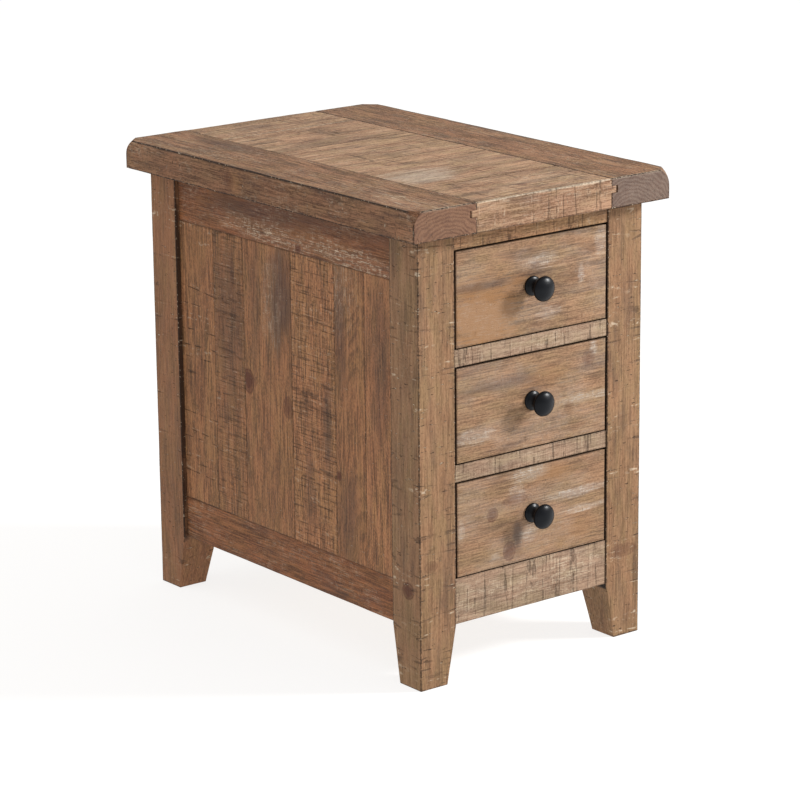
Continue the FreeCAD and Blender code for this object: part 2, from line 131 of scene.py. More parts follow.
class Shade:
    """An output of a shader node. Sums written with it become nodes of its tree."""

    def __init__(self, tree, socket):
        self.tree = tree
        self.socket = socket

    def add(self, kind, values, output=0, **settings):
        node = self.tree.nodes.new("ShaderNode" + kind)
        for name, setting in settings.items():
            setattr(node, name, setting)
        for key, value in values.items():
            if isinstance(value, Shade):
                self.tree.links.new(value.socket, node.inputs[key])
            else:
                node.inputs[key].default_value = value
        return Shade(self.tree, node.outputs[output])

    def math(self, operation, *values):
        return self.add("Math", dict(enumerate(values)), operation=operation)

    def __add__(self, other):
        return self.math("ADD", self, other)

    def __sub__(self, other):
        return self.math("SUBTRACT", self, other)

    def __rsub__(self, other):
        return self.math("SUBTRACT", other, self)

    def __mul__(self, other):
        return self.math("MULTIPLY", self, other)

    def __truediv__(self, other):
        return self.math("DIVIDE", self, other)

    def __pow__(self, other):
        return self.math("POWER", self, other)

    def __abs__(self):
        return self.math("ABSOLUTE", self)

    __radd__ = __add__
    __rmul__ = __mul__

    def least(self, other):
        return self.math("MINIMUM", self, other)

    def most(self, other):
        return self.math("MAXIMUM", self, other)

    def ramp(self, low, high):
        """0 at low and 1 at high, with a soft start and end."""
        values = {"Value": self, "From Min": low, "From Max": high}
        return self.add("MapRange", values, interpolation_type="SMOOTHSTEP")

    def blend(self, first, second, how="MIX"):
        """The colour first where this is 0, and second where it is 1."""
        values = {0: self, 6: first, 7: second}
        return self.add("Mix", values, output=2, data_type="RGBA", blend_type=how)

    def vector(self, operation, *values, output=0):
        return self.add("VectorMath", dict(enumerate(values)), output, operation=operation)

    def grain(self, lengths, seed, detail):
        """Cloudy noise whose blots are as long as the three lengths, in mm."""
        scales = [1.0 / length for length in lengths]
        place = self.vector("MULTIPLY_ADD", self, scales, (seed * 7.3, seed * 3.1, seed * 5.7))
        values = {"Vector": place, "Scale": 1.0, "Detail": detail, "Roughness": 0.55}
        return self.add("TexNoise", values)

    def near(self, centre, reach):
        """Distance from a spot, measured in its reach: 0 in the middle and 1 at the rim."""
        offset = self.vector("SUBTRACT", self, centre)
        scaled = self.vector("MULTIPLY", offset, [1.0 / size for size in reach])
        return scaled.vector("LENGTH", scaled, output=1)


def new_finish(name):
    """An empty material, and the place on the object, in metres, that its patterns read."""
    material = bpy.data.materials.new(name)
    material.use_nodes = True
    tree = material.node_tree
    tree.nodes.clear()
    return material, Shade(tree, tree.nodes.new("ShaderNodeTexCoord").outputs["Object"])


def coat(material, place, values):
    """End the material with one shader that takes these numbers and shades."""
    shader = place.add("BsdfPrincipled", values)
    result = place.tree.nodes.new("ShaderNodeOutputMaterial")
    place.tree.links.new(shader.socket, result.inputs["Surface"])


def tint(red, green, blue):
    """A colour given by its display values, 0 to 255."""
    shares = [value / 255.0 for value in (red, green, blue)]
    linear = [((share + 0.055) / 1.055) ** 2.4 if share > 0.04 else share / 12.92
              for share in shares]
    return (*linear, 1.0)


CHALK = tint(206, 188, 164)
HAZE = tint(186, 176, 165)
WARM = tint(142, 102, 64)
RUST = tint(84, 48, 28)
SOOT = tint(66, 50, 46)
UMBER = tint(46, 30, 20)
KNOT = tint(78, 38, 26)
# The near-black of the painted shade in the narrow gaps round the drawers
PAINTED_GAP_SHADE = tint(14, 9, 7)
GREENER = (0.95, 0.99, 0.94, 1.0)
REDDER = (1.03, 0.98, 0.98, 1.0)
END_BROWNS = (tint(126, 92, 70), tint(94, 64, 49))


class Board:
    """The finish of one pine board, painted in layers from the wood to its wear.

    The grain runs along one axis. The box holds the low and high corners of what shows
    of the board, in mm, and every place and length is in mm too.
    """

    def __init__(self, name, grain, box, seed):
        self.material, start = new_finish(name)
        self.spot = start.add("VectorMath", {0: start, "Scale": 1000.0}, operation="SCALE")
        parts = self.spot.add("SeparateXYZ", {0: self.spot})
        outputs = parts.socket.node.outputs
        self.place = [Shade(parts.tree, outputs[count]) for count in range(3)]
        self.axis = "XYZ".index(grain)
        self.along = self.place[self.axis]
        self.low, self.high = box
        self.seed = seed
        sides = [(place - low).least(high - place)
                 for place, low, high in zip(self.place, self.low, self.high)]
        nearer, farther = sides[0].least(sides[1]), sides[0].most(sides[1])
        self.edge = nearer.most(farther.least(sides[2]))

    def noise(self, length, width, offset, detail=2.0):
        """Noise with blots of a length along the grain and a width across it."""
        lengths = [length if count == self.axis else width for count in range(3)]
        return self.spot.grain(lengths, self.seed + offset, detail)

    def paint(self, mask, tone, how="MIX"):
        self.colour = mask.blend(self.colour, tone, how)

    def grow(self, heart, lean, ring, knots):
        """Growth rings: cylinders about a leaning heart, pushed aside by the knots."""
        first, second = [self.place[count] for count in range(3) if count != self.axis]
        run = self.along - (self.low[self.axis] + self.high[self.axis]) / 2.0
        first = first - heart[0] - run * lean[0]
        second = second - heart[1] - run * lean[1]
        radius = (first * first + second * second) ** 0.5
        radius = radius + (self.noise(120.0, 40.0, 0.0) - 0.5) * 22.0
        self.wander = self.noise(9.0, 9.0, 0.5)
        self.knots = []
        for centre, reach, strength in knots:
            away = self.spot.near(centre, reach)
            radius = radius + (away.ramp(3.2, 0.0) ** 2.0) * (max(reach) * 1.6)
            core = (away + (self.wander - 0.5) * 0.8).ramp(1.3, 0.5) * (0.8 * strength)
            rim = abs(away - 1.0 + (self.wander - 0.5) * 0.3).ramp(0.25, 0.0)
            self.knots.append(core.most(rim * (0.7 * strength)))
        turns = radius / ring + self.noise(60.0, 9.0, 1.0) * 1.1
        self.phase = turns.math("FRACT", turns)

    def fill(self, pale, brown, figure, clouds, fibre):
        """Late wood, large patches and fibres of three widths, between two colours."""
        self.cloud = self.noise(130.0, 24.0, 4.0, 4.0)
        self.patch = self.noise(60.0, 34.0, 4.5, 3.0)
        self.streak = self.noise(60.0, 2.2, 2.0, 5.0)
        self.hair = self.noise(24.0, 0.9, 3.0, 3.0)
        self.fleck = self.noise(3.6, 1.6, 3.5)
        late = self.phase.ramp(0.1, 0.85) * self.phase.ramp(1.0, 0.85)
        late = late * self.patch.ramp(0.3, 0.65)
        depth = 0.45 + (late - 0.25) * figure + (self.cloud - 0.5) * (clouds * 1.6)
        depth = depth + (self.streak - 0.5) * (fibre * 3.2) + (self.hair - 0.5) * (fibre * 3.6)
        depth = depth + (self.fleck - 0.5) * (fibre * 2.4)
        self.colour = depth.ramp(-0.35, 1.35).blend(pale, brown)
        hue = self.noise(60.0, 20.0, 4.8)
        self.paint(hue.ramp(0.52, 0.36), GREENER, "MULTIPLY")
        self.paint(hue.ramp(0.48, 0.64), REDDER, "MULTIPLY")
        murk = self.noise(70.0, 16.0, 4.2, 3.0) + (self.streak - 0.5) * 0.3
        self.paint(murk.ramp(0.45, 0.8) * (0.8 * clouds), SOOT)
        self.height = (self.streak - 0.5) * 0.6 + (self.hair - 0.5) * 0.8
        self.height = self.height + (self.fleck - 0.5) * 0.4 - late * 0.15

    def stain(self, stains):
        """Ragged patches that took the finish darker, greyer or warmer."""
        ragged = (self.patch - 0.5) * 1.4 + (self.streak - 0.5) * 2.0
        ragged = ragged + (self.fleck - 0.5) * 0.6
        for centre, reach, strength, tone in stains:
            away = self.spot.near(centre, reach) + ragged
            self.paint(away.ramp(1.3, 0.4) * strength, tone)

    def rub(self):
        """Where a thin wash catches: on fine marks along and across the grain, in patches."""
        lengthwise = self.noise(24.0, 0.9, 8.0).ramp(0.53, 0.61)
        crosswise = self.noise(0.9, 9.0, 8.2).ramp(0.57, 0.65) * 0.8
        self.rubbed = lengthwise.most(crosswise) * self.noise(9.0, 5.0, 8.4).ramp(0.4, 0.58)

    def lighten(self, lights, hazy):
        """Scraped pale spots. A hazy board has them smoother and greyer."""
        base = 0.28 if hazy else 0.08
        for centre, reach, strength in lights:
            away = self.spot.near(centre, reach)
            away = away + (self.patch - 0.5) * 1.6 + (self.streak - 0.5) * 1.6
            scraped = away.ramp(1.3, 0.3) * (base + self.rubbed * (1.0 - base))
            self.paint(scraped * strength, HAZE if hazy else CHALK)

    def mark_knots(self):
        """The dark cores and rims of the knots that grow placed."""
        shade = self.knots[0]
        for knot in self.knots[1:]:
            shade = shade.most(knot)
        self.paint(shade, KNOT)

    def bare_corner(self, radius, height):
        """Reddish wood on a corner of the top that a level round has cut back."""
        half_sum = max(-self.low[0], self.high[0]) + self.high[1]
        inward = (half_sum - abs(self.place[0]) - abs(self.place[1])) * (0.5 ** 0.5) - radius
        inward = inward.least(0.0)
        rise = (self.place[2] - (self.high[2] - height)).most(0.0)
        depth = radius - (inward * inward + rise * rise) ** 0.5
        self.paint(depth.ramp(2.6, 0.4) * 0.45, RUST)

    def rough_saw(self, amount):
        """Fine ridges across the grain, in patches, left by a coarse saw."""
        ridge = self.noise(1.5, 34.0, 5.0)
        where = self.noise(45.0, 16.0, 5.5, 3.0).ramp(0.36, 0.6)
        self.paint(ridge.ramp(0.52, 0.7) * where * (0.5 * amount), UMBER)
        self.paint(ridge.ramp(0.44, 0.3) * where * (0.22 * amount), CHALK)
        self.height = self.height - ridge.ramp(0.42, 0.7) * where * (1.4 * amount)

    def saw_lines(self, amount, gap, lip, edgy):
        """Broken dark lines across the grain with a pale lip. Edgy keeps them near edges."""
        lines = self.noise(gap, 500.0, 6.0, 1.0)
        broken = self.noise(5.0, 14.0, 6.5, 3.0).ramp(0.42, 0.58)
        broken = broken * (1.0 - edgy + self.edge.ramp(28.0, 6.0) * edgy)
        cut = abs(lines - 0.5).ramp(0.45 / gap, 0.1 / gap) * broken
        self.paint(cut * (0.9 * amount), UMBER)
        beside = abs(lines - 0.5 - 1.3 / gap).ramp(0.4 / gap, 0.1 / gap)
        torn = self.noise(5.0, 8.0, 6.8, 3.0).ramp(0.48, 0.6)
        self.paint(beside * broken * torn * (1.4 * lip), CHALK)
        self.height = self.height - cut * (1.6 * amount)

    def nick(self, amount):
        """Short dents across the grain. Some hold pale filler and some hold dark wax."""
        dents = self.noise(2.3, 10.0, 7.0, 3.0).ramp(0.65, 0.71)
        chalky = self.noise(4.0, 7.0, 7.5, 1.0).ramp(0.5, 0.58)
        self.paint(dents * chalky * (0.8 * amount), CHALK)
        self.paint(dents * (1.0 - chalky) * (0.85 * amount), UMBER)
        self.height = self.height - dents * (1.6 * amount)

    def wash(self, amount, hazy):
        """A thin pale wash, brushed on and rubbed off."""
        base = 0.4 if hazy else 0.0
        where = self.noise(80.0, 36.0, 8.5, 3.0).ramp(0.42, 0.62)
        brushed = where * (base + self.rubbed * (1.0 - base))
        self.paint(brushed * amount, HAZE if hazy else CHALK)

    def wear(self, amount):
        """Worn edges: a dark line with a few chalky chips."""
        chips = self.noise(4.0, 4.0, 9.0, 3.0)
        self.rim = (self.edge + (chips - 0.5) * 5.0).ramp(1.9, 0.3)
        self.paint(self.rim * (0.85 * amount), UMBER)
        dots = self.noise(3.2, 3.2, 9.5, 1.0).ramp(0.64, 0.7)
        chipped = (self.edge + (chips - 0.5) * 2.0).ramp(1.9, 0.8)
        self.paint(chipped * dots * (0.5 * amount), CHALK)
        self.height = self.height - self.rim * 0.5

    def show_ends(self, ends):
        """End grain: soft rings in a pair of browns."""
        low, high = self.low[self.axis], self.high[self.axis]
        at_end = (self.along - low).least(high - self.along).ramp(1.2, 0.5)
        rings = abs(self.phase - 0.5) * 1.6 + (self.wander - 0.5) * 0.9
        rings = rings + (self.cloud - 0.5) * 0.8
        tone = rings.ramp(-0.2, 1.1).blend(*ends)
        self.paint(at_end * (1.0 - self.rim) * 0.9, tone)

    def paint_gap_shade(self, axis, plane, dark):
        """Painted shade on the faces in the narrow gap round a drawer front, from just behind
        the front.
        """
        inside = abs(self.place[axis] - plane).ramp(1.8, 1.1)
        behind = (self.place[1] - self.low[1]).ramp(0.3, 1.5)
        self.paint(inside * behind * dark, PAINTED_GAP_SHADE)

    def waxed(self):
        """The finished material: soft wax over a slightly uneven surface."""
        bump = self.height.add("Bump", {"Height": self.height, "Distance": 0.0008,
                                        "Strength": 0.9})
        gloss = 0.62 + (self.streak - 0.5) * 0.25 + (self.hair - 0.5) * 0.15
        coat(self.material, self.spot, {"Base Color": self.colour, "Roughness": gloss,
                                        "Normal": bump, "Specular IOR Level": 0.22})
        return self.material


def pine(name, grain, box, seed, pale, brown, heart=(0.0, -60.0), lean=(0.0, 0.0), ring=5.0,
         figure=0.4, clouds=0.5, fibre=0.5, knots=(), stains=(), lights=(), dub=None,
         rough_saw=0.0, saw=0.0, saw_gap=10.0, lip=0.2, edgy=0.0, nicks=0.0, wash=0.0,
         hazy=False, wear=0.6, ends=END_BROWNS, painted_gap_shades=()):
    """Waxed pine for one board, painted layer by layer.

    Heart is the middle of the growth rings on the two axes across the grain, lean is how
    it shifts along the grain, and ring is the width of a ring. Knots and lights are
    (centre, reach, strength), and stains have a tone as well. Dub is the radius and
    height of a rounded corner. Saw_gap is the distance between saw lines, and lip the
    strength of their pale lip. The gap shades are (axis, plane, dark): painted shade on
    the faces that stand in a narrow gap. The other numbers say how strongly their layer
    shows, from 0 to about 1.
    """
    board = Board(name, grain, box, seed)
    board.grow(heart, lean, ring, knots)
    board.fill(pale, brown, figure, clouds, fibre)
    if stains:
        board.stain(stains)
    if lights or wash:
        board.rub()
    board.lighten(lights, hazy)
    if knots:
        board.mark_knots()
    if dub:
        board.bare_corner(*dub)
    if rough_saw:
        board.rough_saw(rough_saw)
    if saw:
        board.saw_lines(saw, saw_gap, lip, edgy)
    if nicks:
        board.nick(nicks)
    if wash:
        board.wash(wash, hazy)
    board.wear(wear)
    board.show_ends(ends)
    # Painted shade on the faces that stand in a narrow gap
    for gap in painted_gap_shades:
        board.paint_gap_shade(*gap)
    return board.waxed()


def visible_box(node, trim=(0.0, 0.0, 0.0)):
    """The board's box in mm, less the tenons or tongues given by trim."""
    low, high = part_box(node)
    low = [low[axis] * 1000.0 + trim[axis] for axis in range(3)]
    high = [high[axis] * 1000.0 - trim[axis] for axis in range(3)]
    return low, high


def timber(node, body, material, step=14.0, uneven=0.22, round_by=0.9):
    """A board with the joinery of its node, softened edges and slightly uneven faces.

    Step is the distance between the cuts that let the faces bend.
    """
    shape = bmesh.new()
    shape.from_mesh(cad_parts[node].data)
    bmesh.ops.remove_doubles(shape, verts=shape.verts, dist=0.00001)
    bmesh.ops.dissolve_limit(shape, angle_limit=0.02, verts=shape.verts, edges=shape.edges)
    corners = [edge for edge in shape.edges if len(edge.link_faces) == 2
               and edge.calc_face_angle() > 0.35]
    bmesh.ops.bevel(shape, geom=corners, offset=round_by / 1000.0, segments=2, profile=0.5,
                    affect="EDGES", material=-1, clamp_overlap=True)
    low = [min(vert.co[axis] for vert in shape.verts) for axis in range(3)]
    high = [max(vert.co[axis] for vert in shape.verts) for axis in range(3)]
    for axis in range(3):
        count = int((high[axis] - low[axis]) * 1000.0 / step)
        normal = Vector([1.0 if axis == other else 0.0 for other in range(3)])
        for cut in range(1, count):
            place = normal * (low[axis] + (high[axis] - low[axis]) * cut / count)
            bmesh.ops.bisect_plane(shape, geom=shape.verts[:] + shape.edges[:] + shape.faces[:],
                                   dist=0.000001, plane_co=place, plane_no=normal)
    shape.normal_update()
    for vert in shape.verts:
        swell = noise.noise(vert.co * 21.0) + 0.5 * noise.noise(vert.co * 90.0)
        vert.co += vert.normal * (swell * uneven / 1000.0)
    piece = placed(shape, node + "_wood", material)
    piece.data.shade_smooth()
    piece.modifiers.new("even_faces", "WEIGHTED_NORMAL").mode = "FACE_AREA"
    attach(piece, body)
    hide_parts(node)


POST_PALE = tint(157, 122, 90)
POST_BROWN = tint(98, 71, 48)
REAR_POST_PALE = tint(156, 112, 78)
REAR_POST_BROWN = tint(100, 67, 45)
# How dark the painted shade is on faces of the case that stand in a narrow gap
CASE_PAINTED_SHADE = 0.93

post_marks = {
    "post_front_left": dict(seed=1.0, heart=(-240.0, -330.0), lean=(0.02, 0.03),
                            knots=[((-162.0, -280.0, 158.0), (9.0, 14.0, 7.0), 0.5),
                                   ((-179.0, -257.0, 125.0), (12.0, 10.0, 10.0), 1.0)]),
    "post_front_right": dict(seed=2.0, heart=(90.0, -350.0), lean=(-0.03, 0.02),
                             knots=[((151.0, -280.0, 115.0), (22.0, 14.0, 8.0), 0.5)]),
    "post_rear_left": dict(seed=3.0, heart=(-250.0, 200.0), lean=(0.02, 0.02)),
    "post_rear_right": dict(seed=4.0, heart=(250.0, 330.0), lean=(-0.02, 0.03)),
}
for node, marks in post_marks.items():
    box = visible_box(node)
    inner, outer = sorted((box[0][0], box[1][0]), key=abs)
    pale, brown = POST_PALE, POST_BROWN
    if "rear" in node:
        # A dark line of painted shade, the shadow in the recess, stands along the recessed wall
        pale, brown = REAR_POST_PALE, REAR_POST_BROWN
        recess_shade_centre = (outer - math.copysign(1.2, outer), box[0][1], 330.0)
        marks["stains"] = [(recess_shade_centre, (9.0, 1.6, 420.0), 0.9, UMBER)]
    # The inner face of each post gets painted shade behind its front face, as in a narrow gap
    skin = pine(node + "_pine", "Z", box, pale=pale, brown=brown, ring=6.0, figure=0.2,
                clouds=0.5, fibre=0.45, saw=0.6, saw_gap=32.0, lip=0.45, edgy=0.85,
                nicks=0.9, wear=0.9, painted_gap_shades=[(0, inner, CASE_PAINTED_SHADE)], **marks)
    timber(node, "case", skin)

# ---- Side walls ----
# Each wall is a top and a bottom rail tenoned into the posts, with six upright pine
# planks between them. The planks come from different boards: some sawn, some planed.

RAIL_PALE = tint(150, 98, 62)
RAIL_BROWN = tint(86, 54, 36)
SIDE_TENON = (0.0, 30.0, 0.0)
WALL_FACE = visible_box("side_top_rail_right")[1][0]

for side, sign in (("left", -1.0), ("right", 1.0)):
    face = WALL_FACE * sign
    node = "side_top_rail_" + side
    skin = pine(node + "_pine", "Y", visible_box(node, SIDE_TENON), seed=5.0 + sign,
                pale=RAIL_PALE, brown=RAIL_BROWN, heart=(face * 1.3, 560.0), lean=(0.0, 0.05),
                ring=4.0, figure=0.2, clouds=0.5, fibre=0.6, wash=0.25, wear=0.3, nicks=0.2,
                knots=[((face, -33.0, 516.0), (8.0, 5.0, 5.0), 0.9)],
                stains=[((face, 60.0, 548.0), (60.0, 120.0, 16.0), 0.55, SOOT),
                        ((face, -120.0, 560.0), (60.0, 130.0, 14.0), 0.4, SOOT)],
                lights=[((face, 70.0, 528.0), (30.0, 90.0, 16.0), 0.55),
                        ((face, -110.0, 522.0), (30.0, 150.0, 16.0), 0.75),
                        ((face, -190.0, 510.0), (30.0, 60.0, 4.0), 0.9)])
    timber(node, "case", skin)
    node = "side_bottom_rail_" + side
    skin = pine(node + "_pine", "Y", visible_box(node, SIDE_TENON), seed=7.0 + sign,
                pale=RAIL_PALE, brown=RAIL_BROWN, heart=(face * 1.2, 20.0), lean=(0.0, -0.04),
                ring=4.5, figure=0.25, clouds=0.7, fibre=0.8, wash=0.3, wear=0.3, nicks=0.3)
    timber(node, "case", skin)

PLANK_LIGHT = tint(178, 126, 86)
PLANK_PALE = tint(164, 116, 78)
PLANK_BROWN = tint(98, 68, 47)
PLANK_TONGUE = (0.0, 0.0, 8.0)

# The marks of each wall's planks, counted from the back. on_face moves every knot,
# stain and light out to the plank's face, so its place across the table is 0 here.
plank_marks = {
    1: dict(heart=(0.0, 192.0), ring=9.0, figure=0.35, clouds=0.45, saw=0.8, saw_gap=30.0,
            stains=[((0.0, 190.0, 470.0), (60.0, 20.0, 40.0), 0.35, WARM)]),
    2: dict(heart=(0.0, 110.0), ring=5.0, figure=0.15, clouds=0.5, rough_saw=0.6, saw=0.5,
            saw_gap=18.0, stains=[((0.0, 118.0, 390.0), (60.0, 36.0, 95.0), 0.42, SOOT)]),
    3: dict(heart=(0.0, 40.0), lean=(0.12, 0.0), ring=6.0, figure=0.2, clouds=0.4,
            knots=[((0.0, 80.0, 322.0), (12.0, 11.0, 15.0), 1.0),
                   ((0.0, -6.0, 304.0), (12.0, 10.0, 13.0), 0.7)],
            stains=[((0.0, 8.0, 440.0), (60.0, 27.0, 62.0), 0.68, SOOT),
                    ((0.0, 60.0, 440.0), (60.0, 10.0, 80.0), 0.3, SOOT)],
            lights=[((0.0, 30.0, 440.0), (30.0, 24.0, 60.0), 0.4)]),
    4: dict(pale=PLANK_LIGHT, heart=(0.0, -70.0), ring=5.5, figure=0.15, clouds=0.35,
            rough_saw=0.65, saw=0.6, saw_gap=13.0,
            stains=[((0.0, -88.0, 300.0), (60.0, 10.0, 60.0), 0.5, SOOT),
                    ((0.0, -50.0, 200.0), (60.0, 12.0, 60.0), 0.3, SOOT)]),
    5: dict(heart=(0.0, -160.0), lean=(0.2, 0.0), ring=5.0, figure=0.5, clouds=0.35,
            knots=[((0.0, -111.0, 238.0), (12.0, 5.0, 6.0), 1.0)],
            stains=[((0.0, -116.0, 430.0), (60.0, 12.0, 80.0), 0.5, SOOT),
                    ((0.0, -130.0, 190.0), (60.0, 18.0, 60.0), 0.4, SOOT)],
            lights=[((0.0, -120.0, 470.0), (30.0, 30.0, 50.0), 0.4)]),
    6: dict(pale=PLANK_LIGHT, heart=(0.0, -190.0), ring=7.0, figure=0.2, clouds=0.5,
            stains=[((0.0, -200.0, 400.0), (60.0, 22.0, 110.0), 0.42, SOOT)]),
}


def on_face(marks, face):
    """The plank's marks, with the spots put on its outer face."""
    placed_marks = dict(pale=PLANK_PALE)
    placed_marks.update(marks)
    for kind in ("knots", "stains", "lights"):
        spots = marks.get(kind, ())
        placed_marks[kind] = [((face, spot[1], spot[2]), *rest) for spot, *rest in spots]
    placed_marks["heart"] = (face - math.copysign(55.0, face), marks["heart"][1])
    return placed_marks


for side, sign, first_seed in (("left", -1.0, 10.0), ("right", 1.0, 18.0)):
    for count, marks in plank_marks.items():
        node = f"side_plank_{side}_{count}"
        skin = pine(node + "_pine", "Z", visible_box(node, PLANK_TONGUE),
                    seed=first_seed + count, brown=PLANK_BROWN, fibre=1.0, wear=0.45,
                    nicks=0.3, **on_face(marks, WALL_FACE * sign))
        timber(node, "case", skin, round_by=0.6)

# ---- Back ----
# Two rails tenoned between the rear posts hold one thin panel in a groove. All of it
# is pine, and it gets one thin coat of the brown wax.

RAIL_TENON = (30.0, 0.0, 0.0)
PANEL_TONGUES = (8.0, 0.0, 8.0)

for node, seed in (("back_top_rail", 30.0), ("back_bottom_rail", 31.0)):
    skin = pine(node + "_pine", "X", visible_box(node, RAIL_TENON), seed=seed,
                pale=RAIL_PALE, brown=RAIL_BROWN, heart=(320.0, 500.0), ring=4.5, clouds=0.5,
                wash=0.2, wear=0.3)
    timber(node, "case", skin)
skin = pine("back_panel_pine", "Z", visible_box("back_panel", PANEL_TONGUES), seed=32.0,
            pale=tint(166, 122, 86), brown=tint(108, 77, 54), heart=(-20.0, 330.0),
            lean=(0.12, 0.0), ring=7.0, figure=0.35, clouds=0.3, fibre=0.6, wear=0.1)
timber("back_panel", "case", skin, step=20.0)

# ---- Front rails ----
# Four pine rails are tenoned between the front posts, above, between and below the
# drawers. Their faces keep the upright marks of the saw.

FRONT_PALE = tint(168, 142, 118)
FRONT_BROWN = tint(112, 88, 69)
SHADED_PALE = tint(184, 142, 104)
BOTH_FACES = (0, 1)
UPPER_FACE = (1,)

# Each rail's seed, wash, two colours, and which of its faces stand in a narrow gap and get
# painted shade
front_rails = {
    "front_top_rail": (40.0, 0.1, SHADED_PALE, POST_BROWN, BOTH_FACES),
    "divider_rail_upper": (41.0, 0.3, FRONT_PALE, FRONT_BROWN, BOTH_FACES),
    "divider_rail_lower": (42.0, 0.3, FRONT_PALE, FRONT_BROWN, BOTH_FACES),
    "front_bottom_rail": (43.0, 0.5, FRONT_PALE, FRONT_BROWN, UPPER_FACE),
}
for node, (seed, wash, pale, brown, faces) in front_rails.items():
    box = visible_box(node, RAIL_TENON)
    skin = pine(node + "_pine", "X", box, seed=seed, pale=pale, brown=brown,
                heart=(-200.0, box[0][2] - 40.0), ring=4.0, figure=0.1, clouds=0.4,
                fibre=0.6, saw=0.6, saw_gap=20.0, rough_saw=0.38, wash=wash, wear=0.3,
                painted_gap_shades=[(2, box[face][2], CASE_PAINTED_SHADE) for face in faces])
    timber(node, "case", skin)

# ---- Drawers ----
# Each drawer is a pine front dovetailed to two plain sides, with a back let into them
# and a thin bottom in a groove. The fronts are brushed, then rubbed with a grey wash.

DRAWER_PALE = tint(162, 128, 97)
DRAWER_BROWN = tint(100, 74, 53)
# How dark the painted shade is on the edges of the drawer fronts, in the gap round them; lighter
# than the case's, it shows as dark edges on an open drawer
DRAWER_PAINTED_SHADE = 0.66
FACE_Y = visible_box("drawer_top_front")[0][1]
drawer_marks = {
    "drawer_top": dict(
        seed=50.0, heart=(-240.0, 500.0), lean=(0.0, 0.1),
        knots=[((62.0, FACE_Y, 490.0), (22.0, 12.0, 7.0), 0.4),
               ((4.0, FACE_Y, 512.0), (6.0, 8.0, 4.0), 0.5)],
        lights=[((12.0, FACE_Y, 517.0), (30.0, 20.0, 9.0), 0.7),
                ((79.0, FACE_Y, 490.0), (5.0, 8.0, 11.0), 0.8),
                ((112.0, FACE_Y, 530.0), (10.0, 20.0, 24.0), 0.6),
                ((28.0, FACE_Y, 448.0), (22.0, 20.0, 8.0), 0.7)],
        stains=[((-26.0, FACE_Y, 498.0), (22.0, 20.0, 9.0), 0.5, WARM),
                ((-80.0, FACE_Y, 460.0), (60.0, 20.0, 50.0), 0.95, WARM),
                ((-80.0, FACE_Y, 498.0), (50.0, 20.0, 6.0), 0.5, SOOT)]),
    "drawer_middle": dict(
        seed=51.0, heart=(-250.0, 360.0), lean=(0.0, -0.08),
        knots=[((92.0, FACE_Y, 380.0), (9.0, 10.0, 10.0), 0.5),
               ((60.0, FACE_Y, 322.0), (7.0, 8.0, 6.0), 0.4)],
        lights=[((-90.0, FACE_Y, 312.0), (30.0, 20.0, 10.0), 0.7),
                ((90.0, FACE_Y, 330.0), (50.0, 20.0, 6.0), 0.6),
                ((100.0, FACE_Y, 392.0), (6.0, 20.0, 10.0), 0.9)],
        stains=[((30.0, FACE_Y, 370.0), (40.0, 20.0, 16.0), 0.35, WARM),
                ((-50.0, FACE_Y, 370.0), (60.0, 20.0, 7.0), 0.5, SOOT)]),
    "drawer_bottom": dict(
        seed=52.0, heart=(-245.0, 215.0), lean=(0.0, 0.12),
        knots=[((-64.0, FACE_Y, 205.0), (8.0, 10.0, 8.0), 0.85),
               ((-37.0, FACE_Y, 153.0), (9.0, 10.0, 11.0), 0.9),
               ((-28.0, FACE_Y, 218.0), (18.0, 10.0, 6.0), 0.6)],
        lights=[((-4.0, FACE_Y, 248.0), (28.0, 20.0, 11.0), 0.8),
                ((-24.0, FACE_Y, 226.0), (14.0, 20.0, 14.0), 0.6),
                ((76.0, FACE_Y, 210.0), (60.0, 20.0, 6.0), 0.9),
                ((96.0, FACE_Y, 186.0), (36.0, 20.0, 5.0), 0.8),
                ((-6.0, FACE_Y, 170.0), (15.0, 20.0, 12.0), 0.7),
                ((-60.0, FACE_Y, 150.0), (8.0, 20.0, 6.0), 0.7),
                ((-114.0, FACE_Y, 193.0), (6.0, 20.0, 15.0), 0.6)],
        stains=[((42.0, FACE_Y, 240.0), (36.0, 20.0, 11.0), 0.5, WARM),
                ((50.0, FACE_Y, 160.0), (60.0, 20.0, 20.0), 0.35, WARM),
                # Partly a grey patch in the wood and partly the knob's painted shadow
                ((-24.0, FACE_Y, 172.0), (9.0, 20.0, 22.0), 0.7, SOOT)]),
}

# The box boards of every drawer: grain, seed of the noise, and heart of the rings
BOX_PALE = tint(214, 184, 142)
BOX_BROWN = tint(176, 138, 96)
box_boards = {
    "side_left": ("Y", 55.0, (0.0, 240.0)),
    "side_right": ("Y", 56.0, (0.0, 240.0)),
    "back": ("X", 57.0, (150.0, 0.0)),
}
PLY_PALE = tint(222, 196, 156)
PLY_BROWN = tint(192, 158, 114)


def refinish(node, material):
    """Give a CAD node's own mesh its finish."""
    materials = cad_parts[node].data.materials
    materials.clear()
    materials.append(material)


